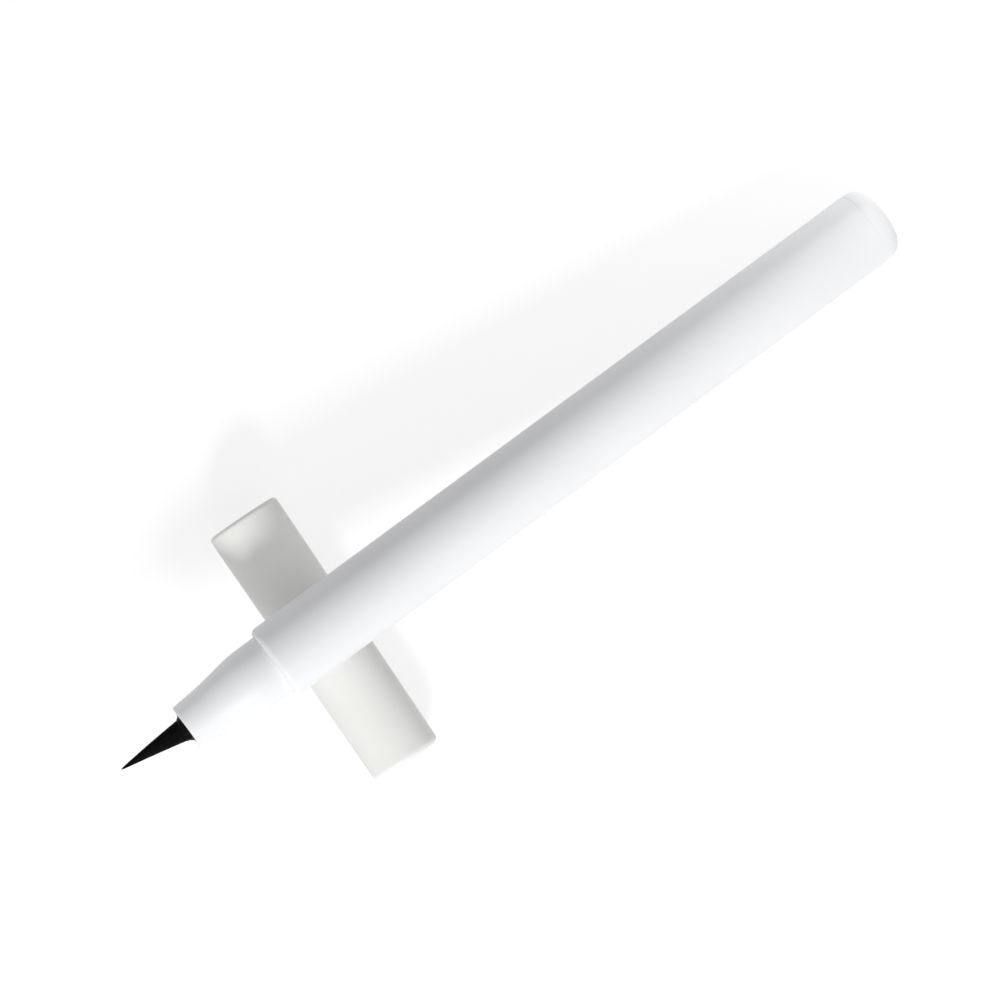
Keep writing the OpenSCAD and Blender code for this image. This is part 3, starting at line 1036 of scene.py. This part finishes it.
@dataclass
class FrontSection(SubAssembly):
    """The stepped nose and its sealing ring.

    Attributes:
        length: Length in front of the barrel.
        base: Radius of the cylinder that the cap grips.
        base_length: Height at which that cylinder ends.
        shoulder_edge: Rounding where that cylinder meets the barrel.
        slim: Radius where the slim front starts.
        slim_height: Height of that place.
        front: Radius at the front face.
        front_edge: Rounding of the front edge.
        hole: Radius of the hole for the holder's neck.
        bore: Radius of the bore behind it.
        neck_height: Height at which the neck's hole starts.
        chamber: Radius of the chamber for the collector.
        chamber_top: Height of the chamber's end.
        tenon: Radius of the tenon.
        tenon_length: Length of the tenon.
        ring_height: Height of the sealing ring's middle.
        ring_room: Depth of the ring's groove, and half its width.
    """

    length: float = 13.9
    base: float = 4.35
    base_length: float = 4.2
    shoulder_edge: float = 0.03
    slim: float = 3.508
    slim_height: float = 9.6
    front: float = 3.18
    front_edge: float = 0.3
    hole: float = 2.15
    bore: float = 2.55
    neck_height: float = 10.95
    chamber: float = 3.1
    chamber_top: float = 3.6
    tenon: float = 4.1
    tenon_length: float = 16.0
    ring_height: float = -4.0
    ring_room: tuple[float, float] = (0.55, 0.325)

    def build(self) -> None:
        """Builds the nose and dresses the ring."""
        self.settle(self.nose(), Body.PEN, Slot.SHELL, "front_section")
        self.dress_node("section_ring", Slot.SEAL)

    def nose(self) -> Piece:
        """Turns the nose with its tenon.

        Returns:
            The piece.
        """
        start, base = Corner(self.base, 0, self.shoulder_edge), Corner(self.base, self.base_length)
        slim, front = Corner(self.slim, self.slim_height), Corner(self.front, self.length, self.front_edge)
        deep, half = self.ring_room
        return self.lathe.turn("nose_shell", [
            Corner(self.chamber, -self.tenon_length),
            Corner(self.tenon, -self.tenon_length, SMALL),
            Corner(self.tenon, self.ring_height - half),
            Corner(self.tenon - deep, self.ring_height - half),
            Corner(self.tenon - deep, self.ring_height + half),
            Corner(self.tenon, self.ring_height + half),
            Corner(self.tenon, 0),
            start,
            *soft_bend(start, base, slim),
            *soft_bend(base, slim, front),
            front,
            Corner(self.hole, self.length, CRISP),
            Corner(self.hole, self.neck_height),
            Corner(self.bore, self.neck_height),
            Corner(self.bore, self.chamber_top),
            Corner(self.chamber, self.chamber_top),
        ])


@dataclass
class BrushTip(SubAssembly):
    """The holder, the ink that stands at its lip, and the brush.

    Attributes:
        face: Height of the nose's front face.
        length: Length of the brush in front of it.
        radius: Radius of the bundle at its root.
        lean: Sideways lean of the brush at its tip.
        lean_curve: Shares of the lean that grow straight with the length, and that its square takes off again.
        converge: Share by which the bundle has narrowed at the tip.
        rings: Rings of bristles around the middle one.
        sides: Sides of a bristle.
        stations: Rings of points along a bristle.
        root_depth: Depth of the bristles' roots behind the face.
        filament: Radius of a bristle at its root.
        taper: Share by which a bristle thins evenly over the brush's length.
        point: Share by which it thins besides at its own end.
        point_power: Power by which that share grows towards the end.
        shorter: Share of the length by which outer bristles end sooner.
        shorter_power: Power by which that share grows outwards.
        ragged: Share of the length by which bristles differ.
        sway: Largest share by which a bristle's distance from the middle swings.
        swing: Angle in radians that the swing runs through over the brush's length.
        seed: Seed of the bristles' small differences.
        clumps: Number of clumps that the wet bristles draw into.
        clumping: Angle in radians by which they draw together at the tip.
        holder_bore: Radius of the holder's bore.
        holder_neck: Radius of its neck at the face.
        holder_body: Radius of its body.
        holder_flange: Radius of its rear flange.
        slug_room: Radius of the bore around the brush's slug and the collector's post.
        holder_heights: Heights of the rear face, the flange's front, the slug room's end and the neck.
        lip_height: Height of the lip.
        lip_wall: Thickness of the lip at its top.
        lip_steps: Number of faces up the lip.
        ink_climb: Height by which the ink climbs above the lip.
        ink_gap: Gap between the ink and the holder's bore.
        ink_wall: Thickness of the ring of ink at its top.
        ink_share: Share of the brush's length at which the ink meets the bristles.
        ink_steps: Number of faces up the ink.
        slug_heights: Heights of the slug's rear face and its flange's front.
        slug_radius: Radius of the slug's flange.
    """

    face: float = 13.9
    length: float = 10.05
    radius: float = 1.6
    lean: float = 0.69
    lean_curve: tuple[float, float] = (1.3, 0.3)
    converge: float = 0.955
    rings: int = 15
    sides: int = 5
    stations: int = 11
    root_depth: float = 0.3
    filament: float = 0.052
    taper: float = 0.6
    point: float = 0.4
    point_power: int = 5
    shorter: float = 0.035
    shorter_power: float = 1.5
    ragged: float = 0.03
    sway: float = 0.02
    swing: float = 9.0
    seed: int = 7
    clumps: int = 13
    clumping: float = 0.1
    holder_bore: float = 1.65
    holder_neck: float = 2.1
    holder_body: float = 2.5
    holder_flange: float = 3.05
    slug_room: float = 2.0
    holder_heights: tuple[float, float, float, float] = (2.8, 3.6, 9.15, 10.9)
    lip_height: float = 0.4
    lip_wall: float = 0.06
    lip_steps: int = 14
    ink_climb: float = 0.5
    ink_gap: float = 0.01
    ink_wall: float = 0.15
    ink_share: float = 0.08
    ink_steps: int = 8
    slug_heights: tuple[float, float] = (8.2, 9.1)
    slug_radius: float = 1.95

    def build(self) -> None:
        """Builds the holder, the ink, the slug and the bristles."""
        self.settle(self.holder(), Body.PEN, Slot.HOLDER, "brush_holder")
        self.settle(self.meniscus(), Body.PEN, Slot.HOLDER)
        self.settle(self.slug(), Body.PEN, Slot.BRISTLES)
        self.settle(self.bristles(), Body.PEN, Slot.BRISTLES, "brush")

    def holder(self) -> Piece:
        """Turns the holder with its inked lip.

        Returns:
            The piece.
        """
        rear, flange, room, neck = self.holder_heights
        return self.lathe.turn("holder_sleeve", [
            Corner(self.slug_room, rear, FINE),
            Corner(self.holder_flange, rear, FINE),
            Corner(self.holder_flange, flange, FINE),
            Corner(self.holder_body, flange),
            Corner(self.holder_body, neck, FINE),
            Corner(self.holder_neck, neck),
            *flare(self.holder_neck, self.holder_bore + self.lip_wall, self.face, self.lip_height, self.lip_steps),
            Corner(self.holder_bore, self.face + self.lip_height),
            Corner(self.holder_bore, room),
            Corner(self.slug_room, room),
        ])

    def meniscus(self) -> Piece:
        """Turns the ring of ink that climbs from the lip onto the bristles.

        Returns:
            The piece.
        """
        low, top = self.face + self.lip_height / 2, self.face + self.lip_height
        wide, slim = self.holder_bore - self.ink_gap, self.radius * (1 - self.converge * self.ink_share)
        curve = flare(wide, slim, top, self.ink_climb, self.ink_steps)
        inner = slim - self.ink_wall
        return self.lathe.turn("ink_meniscus", [
            Corner(inner, low),
            Corner(wide, low),
            *curve,
            Corner(inner, curve[-1].height),
        ])

    def slug(self) -> Piece:
        """Turns the slug that the bristles are fused to.

        Returns:
            The piece.
        """
        rear, flange = self.slug_heights
        return self.lathe.turn("brush_slug", [
            Corner(0, rear),
            Corner(self.slug_radius, rear, FINE),
            Corner(self.slug_radius, flange, FINE),
            Corner(self.radius, flange),
            Corner(self.radius, self.face, CRISP),
            Corner(0, self.face),
        ])

    def bristles(self) -> Piece:
        """Draws the bundle of bristles as one piece.

        Returns:
            The piece, each bristle a closed tapered tube.
        """
        dice = random.Random(self.seed)
        points: list[Vector] = []
        faces: list[list[int]] = []
        spacing = self.radius / (self.rings + 0.5)
        for ring in range(self.rings + 1):
            # Packed as tightly as they go, every ring holds six bristles more than the one inside it.
            count = max(6 * ring, 1)
            out = ring / self.rings
            for i in range(count):
                angle = 2 * math.pi * (i + ring / 2) / count
                ragged = self.ragged * min(1.0, 2 * out) * dice.random()
                end = 1 - self.shorter * out ** self.shorter_power - ragged
                strand_points, strand_faces = self.strand(ring * spacing, angle, end, dice)
                faces += [[len(points) + index for index in f] for f in strand_faces]
                points += strand_points
        return make_piece("brush_bristles", points, faces)

    def strand(self, radius: float, angle: float, end: float,
               dice: random.Random) -> tuple[list[Vector], list[list[int]]]:
        """Draws one bristle.

        Args:
            radius: Its distance from the brush's middle at the root.
            angle: Its angle around the brush.
            end: Share of the brush's length at which it ends.
            dice: Source of its small differences.

        Returns:
            Its points and faces.
        """
        sway, phase = self.sway * dice.random(), 2 * math.pi * dice.random()
        root = -self.root_depth / self.length
        turns = [2 * math.pi * (j / self.sides) for j in range(self.sides)]
        rings = []
        for k in range(self.stations):
            share = root + (end - root) * k / self.stations
            down, side = self.centre(radius, angle, share, sway, phase)
            pointed = 1 - (k / self.stations) ** self.point_power * self.point
            thick = self.filament * (1 - self.taper * max(share, 0.0)) * pointed
            rings.append([self.lathe.axis.place(down + thick * math.cos(t), side + thick * math.sin(t),
                                                self.face + self.length * share) for t in turns])
        tip = self.centre(radius, angle, end, sway, phase)
        return tube(rings, self.lathe.axis.place(*tip, self.face + self.length * end))

    def centre(self, radius: float, angle: float, share: float, sway: float, phase: float) -> tuple[float, float]:
        """Finds a bristle's middle at a share of the brush's length.

        Args:
            radius: Its distance from the brush's middle at the root.
            angle: Its angle around the brush.
            share: The share of the length.
            sway: Share by which its distance from the middle swings.
            phase: Where in its swing it starts.

        Returns:
            The middle's distances down and sideways from the axis.
        """
        s = max(share, 0.0)
        reach = radius * (1 - self.converge * share) * (1 + sway * s * math.sin(self.swing * s + phase))
        turned = angle - self.clumping * s * math.sin(self.clumps * angle)
        straight, curved = self.lean_curve
        return reach * math.cos(turned), reach * math.sin(turned) - self.lean * (straight * s - curved * s * s)


@dataclass
class Cap(SubAssembly):
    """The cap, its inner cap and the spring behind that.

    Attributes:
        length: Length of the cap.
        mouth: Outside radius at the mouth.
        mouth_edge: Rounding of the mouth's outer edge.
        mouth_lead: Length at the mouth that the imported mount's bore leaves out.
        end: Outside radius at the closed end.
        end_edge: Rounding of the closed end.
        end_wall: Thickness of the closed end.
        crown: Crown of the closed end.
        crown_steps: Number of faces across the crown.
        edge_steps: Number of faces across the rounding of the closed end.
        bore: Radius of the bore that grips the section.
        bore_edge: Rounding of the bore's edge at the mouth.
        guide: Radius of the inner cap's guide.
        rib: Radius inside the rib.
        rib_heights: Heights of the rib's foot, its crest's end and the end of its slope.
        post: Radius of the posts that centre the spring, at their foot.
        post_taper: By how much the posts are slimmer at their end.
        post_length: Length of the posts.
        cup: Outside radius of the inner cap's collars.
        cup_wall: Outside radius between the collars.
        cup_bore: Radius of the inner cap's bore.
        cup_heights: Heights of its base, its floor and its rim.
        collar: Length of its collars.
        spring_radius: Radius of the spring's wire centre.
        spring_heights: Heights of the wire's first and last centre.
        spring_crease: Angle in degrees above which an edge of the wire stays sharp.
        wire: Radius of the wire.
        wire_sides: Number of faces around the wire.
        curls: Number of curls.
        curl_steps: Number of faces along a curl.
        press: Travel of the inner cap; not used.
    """

    length: float = 39.2
    mouth: float = 5.2
    mouth_edge: float = 0.6
    mouth_lead: float = 0.2
    end: float = 5.025
    end_edge: float = 0.9
    end_wall: float = 1.4
    crown: float = 0.2
    crown_steps: int = 10
    edge_steps: int = 12
    bore: float = 4.4
    bore_edge: float = 0.12
    guide: float = 4.25
    rib: float = 3.85
    rib_heights: tuple[float, float, float] = (29.85, 30.5, 30.9)
    post: float = 1.8
    post_taper: float = 0.2
    post_length: float = 2.0
    cup: float = 4.2
    cup_wall: float = 4.006
    cup_bore: float = 3.456
    cup_heights: tuple[float, float, float] = (13.65, 14.45, 29.8)
    collar: float = 2.0
    spring_radius: float = 2.975
    spring_heights: tuple[float, float] = (1.675, 13.375)
    spring_crease: float = 60.0
    wire: float = 0.225
    wire_sides: int = 12
    curls: int = 8
    curl_steps: int = 36
    press: float = 1.2

    def build(self) -> None:
        """Builds the shell, the inner cap and the spring."""
        self.settle(self.shell(), Body.CAP, Slot.CAP, "cap_shell")
        self.settle(self.inner(), Body.INNER_CAP, Slot.INNER, "inner_cap")
        spring = self.settle(self.spring(), Body.CAP, Slot.STEEL, "cap_spring")
        low, high = self.spring_heights
        axis = self.lathe.axis
        axis.point(0, 0, low - self.wire)
        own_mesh(spring)

    def shell(self) -> Piece:
        """Turns the cap's shell.

        Returns:
            The piece.
        """
        flat, steps = self.end - self.end_edge, self.crown_steps
        foot, crest, slope = self.rib_heights
        return self.lathe.turn("cap_body", [
            *[Corner(flat * i / steps, self.crown * (i / steps) ** 2) for i in range(steps)],
            *arc(Corner(flat, self.crown + self.end_edge), self.end_edge, -math.pi / 2, 0, self.edge_steps),
            Corner(self.mouth, self.length, self.mouth_edge),
            Corner(self.bore, self.length, self.bore_edge),
            Corner(self.bore, slope, SMALL),
            Corner(self.rib, crest, FINE),
            Corner(self.rib, foot, FINE),
            Corner(self.guide, foot),
            Corner(self.guide, self.end_wall, SOFT),
            Corner(self.post, self.end_wall, SLIGHT),
            Corner(self.post - self.post_taper, self.end_wall + self.post_length, FINE),
            Corner(0, self.end_wall + self.post_length),
        ])

    def inner(self) -> Piece:
        """Turns the inner cap.

        Returns:
            The piece.
        """
        base, floor, rim = self.cup_heights
        return self.lathe.turn("inner_cap_cup", [
            Corner(0, base - self.post_length),
            Corner(self.post - self.post_taper, base - self.post_length, FINE),
            Corner(self.post, base, FINE),
            Corner(self.cup, base, SMALL),
            Corner(self.cup, base + self.collar, CRISP),
            Corner(self.cup_wall, base + self.collar, CRISP),
            Corner(self.cup_wall, rim - self.collar, CRISP),
            Corner(self.cup, rim - self.collar, CRISP),
            Corner(self.cup, rim, CRISP),
            Corner(self.cup_bore, rim, SLIGHT),
            Corner(self.cup_bore, floor, SOFT),
            Corner(0, floor),
        ])

    def spring(self) -> Piece:
        """Draws the spring.

        Returns:
            The piece, one unbroken wire.
        """
        low, high = self.spring_heights
        slope = (high - low) / self.curls / (2 * math.pi * self.spring_radius)
        turns = [2 * math.pi * j / self.wire_sides for j in range(self.wire_sides)]
        steps = self.curls * self.curl_steps
        rings = []
        for k in range(steps + 1):
            a = 2 * math.pi * k / self.curl_steps
            height = low + (high - low) * k / steps
            out, way = Vector((math.cos(a), math.sin(a), 0)), Vector((-math.sin(a), math.cos(a), slope))
            up = out.cross(way).normalized()
            spots = [self.spring_radius * out + self.wire * (math.cos(t) * out + math.sin(t) * up) for t in turns]
            rings.append([self.lathe.axis.place(p.x, p.y, height + p.z) for p in spots])
        return make_piece("spring_coil", *tube(rings), crease=self.spring_crease)


@dataclass
class InkSystem(SubAssembly):
    """The hidden pieces that hold and lead the ink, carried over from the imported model."""

    def build(self) -> None:
        """Dresses the carried-over pieces."""
        slots = {
            "ink_tank": Slot.TANK,
            "tank_plug": Slot.TANK,
            "tank_seal": Slot.SEAL,
            "mixing_ball": Slot.STEEL,
            "collector": Slot.COLLECTOR,
            "ink_feed": Slot.FIBRE,
        }
        for node, slot in slots.items():
            self.dress_node(node, slot)


@dataclass(frozen=True)
class Lamp:
    """A round soft light.

    Attributes:
        name: Its name.
        strength: Share of a colour's own brightness that it gives a surface at its target that faces it.
        distance: Its distance from its target, in metres.
        size: Its diameter in metres.
        turn: Its direction from there in the picture, in degrees anticlockwise from the right.
        lift: Its direction above the floor, in degrees.
        target: Height of its target on the pen's axis in millimetres, or None for the origin of the frame.
    """

    name: str
    strength: float
    distance: float
    size: float
    turn: float
    lift: float
    target: Optional[float] = None


@dataclass(frozen=True)
class Studio:
    """The floor, the lights and the camera that looks straight down, as the photograph does.

    Attributes:
        camera_height: Height of the camera above the floor, in metres.
        camera_reach: Distances that the camera sees between, in metres.
        focal_pixels: Focal length in pixels.
        frame_pixels: Width of the picture in pixels.
        sensor: Width of the sensor in millimetres.
        roll: Angle in the picture between its left edge's direction and the pen, in degrees.
        foot: The camera's place, in millimetres from the barrel's front: back along the pen, and sideways.
        lamps: The main light, a broad one beside it, and small ones that lift the shade at the pen's rear and nose.
        sky: Colour of the light from all around.
        floor_half: Half the floor's width in metres.
        floor_depth: Depth of the floor under the pieces, in millimetres.
        floor_glow: Strength at which the floor shows, besides its own shading.
        floor_shade: Brightness of the floor's own shading, as it shows.
        floor_bounce: Brightness of the floor as it lights the pieces.
    """

    camera_height: float = 0.54
    camera_reach: tuple[float, float] = (0.01, 20.0)
    focal_pixels: float = 4033.0
    frame_pixels: int = 1000
    sensor: float = 36.0
    roll: float = 36.37
    foot: tuple[float, float] = (36.36, 0.294)
    lamps: tuple[Lamp, ...] = (
        Lamp("key_light", 0.6, 1.0, 0.18, turn=-84.0, lift=38.0),
        Lamp("broad_light", 0.08, 0.7, 0.5, turn=-60.0, lift=60.0),
        Lamp("fill_light", 0.52, 0.05, 0.04, turn=75.0, lift=30.0, target=-Barrel.length),
        Lamp("front_light", 0.075, 0.03, 0.02, turn=150.0, lift=25.0, target=FrontSection.slim_height),
    )
    sky: Colour = (0.44, 0.441, 0.447)
    floor_half: float = 3.0
    floor_depth: float = 0.03
    floor_glow: float = 0.76
    floor_shade: float = 0.3
    floor_bounce: float = 0.8

    def build(self, axis: Axis) -> None:
        """Builds the studio.

        Args:
            axis: The pen's axis.
        """
        self.floor()
        self.world()
        for lamp in self.lamps:
            self.light(lamp, axis)
        self.camera(axis)

    def picture_axes(self) -> tuple[Vector, Vector]:
        """Returns the directions of the picture's right and top in the model's frame."""
        turn = math.radians(self.roll)
        return Vector((-math.cos(turn), math.sin(turn), 0)), Vector((-math.sin(turn), -math.cos(turn), 0))

    def camera(self, axis: Axis) -> None:
        """Sets up the camera.

        Args:
            axis: The pen's axis, whose origin is the middle of the barrel's front.
        """
        data = bpy.data.cameras.new("photo_camera")
        data.sensor_width = self.sensor
        data.lens = self.focal_pixels / self.frame_pixels * self.sensor
        data.clip_start, data.clip_end = self.camera_reach
        camera = bpy.data.objects.new("photo_camera", data)
        right, top = self.picture_axes()
        turned = Matrix((right, top, right.cross(top))).transposed().to_4x4()
        back, aside = self.foot
        spot = Vector((axis.origin.x - back * MM, axis.origin.y + aside * MM, self.camera_height))
        camera.matrix_world = Matrix.Translation(spot) @ turned
        bpy.context.scene.collection.objects.link(camera)
        bpy.context.scene.camera = camera

    def light(self, lamp: Lamp, axis: Axis) -> None:
        """Adds a light.

        Args:
            lamp: The light.
            axis: The pen's axis.
        """
        target = Vector((0, 0, 0)) if lamp.target is None else axis.place(0, 0, lamp.target)
        right, top = self.picture_axes()
        turn, lift = math.radians(lamp.turn), math.radians(lamp.lift)
        way = (right * math.cos(turn) + top * math.sin(turn)) * math.cos(lift) + Vector((0, 0, math.sin(lift)))
        data = bpy.data.lights.new(lamp.name, "AREA")
        data.shape = "DISK"
        data.size = lamp.size
        data.energy = lamp.strength * math.pi ** 2 * lamp.distance ** 2
        light = bpy.data.objects.new(lamp.name, data)
        light.location = target + way * lamp.distance
        light.rotation_euler = way.to_track_quat("Z", "Y").to_euler()
        light.visible_camera = False
        bpy.context.scene.collection.objects.link(light)

    def world(self) -> None:
        """Lights the pieces softly from all around, and shows white behind them."""
        world = bpy.data.worlds.new("studio_world")
        world.use_nodes = True
        bpy.context.scene.world = world
        board = NodeBoard(world.node_tree)
        ambient = board.add("ShaderNodeBackground", {"Color": opaque(self.sky)})
        white = board.add("ShaderNodeBackground", {"Color": opaque((1.0, 1.0, 1.0))})
        both = board.add("ShaderNodeMixShader", {0: self.seen(board), 1: ambient.outputs[0], 2: white.outputs[0]})
        board.add("ShaderNodeOutputWorld", {"Surface": both.outputs[0]})

    def floor(self) -> None:
        """Lays the pale floor, which shows white and keeps the object's shadow."""
        half, height = self.floor_half, -self.floor_depth * MM
        corners = [Vector((x * half, y * half, height)) for x, y in ((-1, -1), (1, -1), (1, 1), (-1, 1))]
        floor = make_piece("studio_floor", corners, [(0, 1, 2, 3)])
        material = bpy.data.materials.new("pale_floor")
        material.use_nodes = True
        board = NodeBoard(material.node_tree)
        bounce = board.add("ShaderNodeBsdfDiffuse", {"Color": opaque((self.floor_bounce,) * 3)})
        shade = board.add("ShaderNodeBsdfDiffuse", {"Color": opaque((self.floor_shade,) * 3)})
        glow = board.add("ShaderNodeEmission", {"Strength": self.floor_glow})
        face = board.add("ShaderNodeAddShader", {0: shade.outputs[0], 1: glow.outputs[0]})
        both = board.add("ShaderNodeMixShader", {0: self.seen(board), 1: bounce.outputs[0], 2: face.outputs[0]})
        board.add("ShaderNodeOutputMaterial", {"Surface": both.outputs[0]})
        floor.data.materials.append(material)

    @staticmethod
    def seen(board: NodeBoard) -> Socket:
        """Tells rays that look at a surface from those that gather its light.

        Args:
            board: The nodes to add to.

        Returns:
            One where the camera, a reflection or clear plastic looks at the surface, and zero otherwise.
        """
        path = board.add("ShaderNodeLightPath").outputs
        gloss = board.math("MAXIMUM", path["Is Glossy Ray"], path["Is Transmission Ray"])
        return board.math("MAXIMUM", path["Is Camera Ray"], gloss)


def mount(name: str) -> dict[str, Any]:
    """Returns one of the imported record's mounts by name."""
    return next(m for m in frame["record"]["mounts"] if m["name"] == name)


def pen_axis() -> Axis:
    """Returns the pen's axis, with height zero at the barrel's front face and growing towards the brush."""
    tail = mount("tail_face")
    return Axis.through(Vector(tail["pos_m"]), -Vector(tail["axis"]), -(Barrel.length + Barrel.collar))


def cap_axis() -> Axis:
    """Finds the cap's axis from its mouth's mount, which lies in the middle of the bore.

    Returns:
        The axis, with height zero at the closed end and growing towards the mouth.
    """
    mouth = mount("cap_mouth")
    middle = (Cap.rib_heights[2] + Cap.length - Cap.mouth_lead) / 2
    return Axis.through(Vector(mouth["pos_m"]), Vector(mouth["axis"]), middle)


def main() -> None:
    """Builds the studio and every sub-assembly."""
    logging.basicConfig(level=logging.INFO, format="%(name)s %(message)s")
    bpy.context.scene.view_settings.view_transform = "Standard"
    pen, cap = pen_axis(), cap_axis()
    Studio().build(pen)
    wardrobe = Wardrobe(Effects(), pen, cap)
    on_pen, on_cap = Lathe(pen), Lathe(cap)
    for part in (Barrel(on_pen, wardrobe), FrontSection(on_pen, wardrobe), BrushTip(on_pen, wardrobe),
                 InkSystem(on_pen, wardrobe), Cap(on_cap, wardrobe)):
        part.build()


if __name__ == "__main__":
    main()
